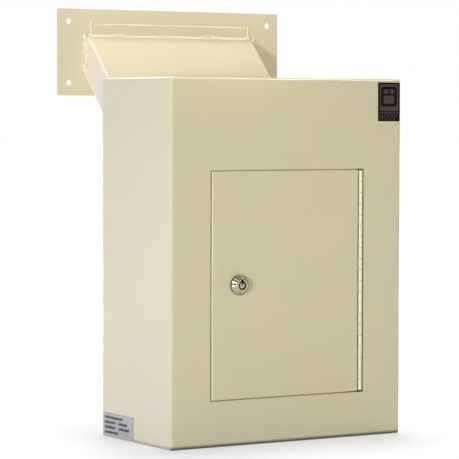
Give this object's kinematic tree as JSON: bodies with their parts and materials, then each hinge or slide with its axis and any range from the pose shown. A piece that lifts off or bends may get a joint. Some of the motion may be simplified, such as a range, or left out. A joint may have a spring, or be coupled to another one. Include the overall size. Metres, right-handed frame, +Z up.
{
  "type": "wall-through parcel drop box",
  "caption": "Welded steel drop box with a lockable hinged door and a slanted chute that slides to suit the wall, ending in a bolted wall plate with a hanging flap.",
  "frame": {"origin": "centre of the cabinet's bottom face, which it stands on; the chute and its wall plate lie outside that centring", "axes": "+Z up; the door faces -Y, so -Y is the front; +Y runs through the wall to the deposit side; +X is to the right of someone who faces the door, the hinge side"},
  "size_m": [0.3052, 0.2807, 0.4895],
  "materials": {
    "cabinet_paint": "semi-gloss cream powder coat",
    "door_paint": "semi-gloss cream powder coat",
    "chute_paint": "semi-gloss cream powder coat",
    "lock_chrome": "polished chrome plate",
    "plug_steel": "worn nickel plate",
    "pin_brass": "machined",
    "zinc_steel": "bright zinc plate",
    "badge_plastic": "satin dark brown print",
    "label_foil": "matt silver foil"
  },
  "bodies": {
    "cabinet": {"cabinet_wrap": "cabinet_paint", "bottom_panel": "cabinet_paint", "top_panel": "cabinet_paint", "back_panel": "cabinet_paint", "strike_bar": "cabinet_paint", "top_stop_bar": "cabinet_paint", "bottom_stop_bar": "cabinet_paint", "frame_hinge_leaf": "cabinet_paint", "door_hinge_pin": "zinc_steel", "sleeve_hood": "cabinet_paint", "sleeve_floor": "cabinet_paint", "clamp_nuts": "zinc_steel", "clamp_screws": "zinc_steel", "front_badge": "badge_plastic", "side_label": "label_foil"},
    "door": {"door_panel": "door_paint", "door_hinge_leaf": "door_paint", "lock_housing": "lock_chrome", "lock_washer": "zinc_steel", "lock_nut": "zinc_steel"},
    "lock_cylinder": {"lock_plug": "plug_steel", "key_pins": "pin_brass", "lock_cam": "zinc_steel", "cam_washer": "zinc_steel", "cam_nut": "zinc_steel"},
    "wall_chute": {"wall_plate": "chute_paint", "chute_hood": "chute_paint", "chute_floor": "chute_paint", "slot_header_bar": "chute_paint", "flap_hinge_leaf": "chute_paint", "flap_hinge_pin": "zinc_steel"},
    "flap": {"deposit_flap": "chute_paint"}
  },
  "joints": [
    {"name": "door_hinge", "type": "hinge", "parent": "cabinet", "child": "door", "pos_m": [0.0974, -0.075, 0.1778], "axis": [0, 0, 1], "range_deg": [0, 140]},
    {"name": "lock_turn", "type": "hinge", "parent": "door", "child": "lock_cylinder", "pos_m": [-0.0652, -0.0762, 0.1778], "axis": [0, 1, 0], "range_deg": [0, 90]},
    {"name": "chute_slide", "type": "slide", "parent": "cabinet", "child": "wall_chute", "axis": [0, 0.7071, 0.7071], "range_m": [0, 0.07]},
    {"name": "flap_swing", "type": "hinge", "parent": "wall_chute", "child": "flap", "pos_m": [0, 0.191, 0.464], "axis": [1, 0, 0], "range_deg": [0, 90]}
  ]
}
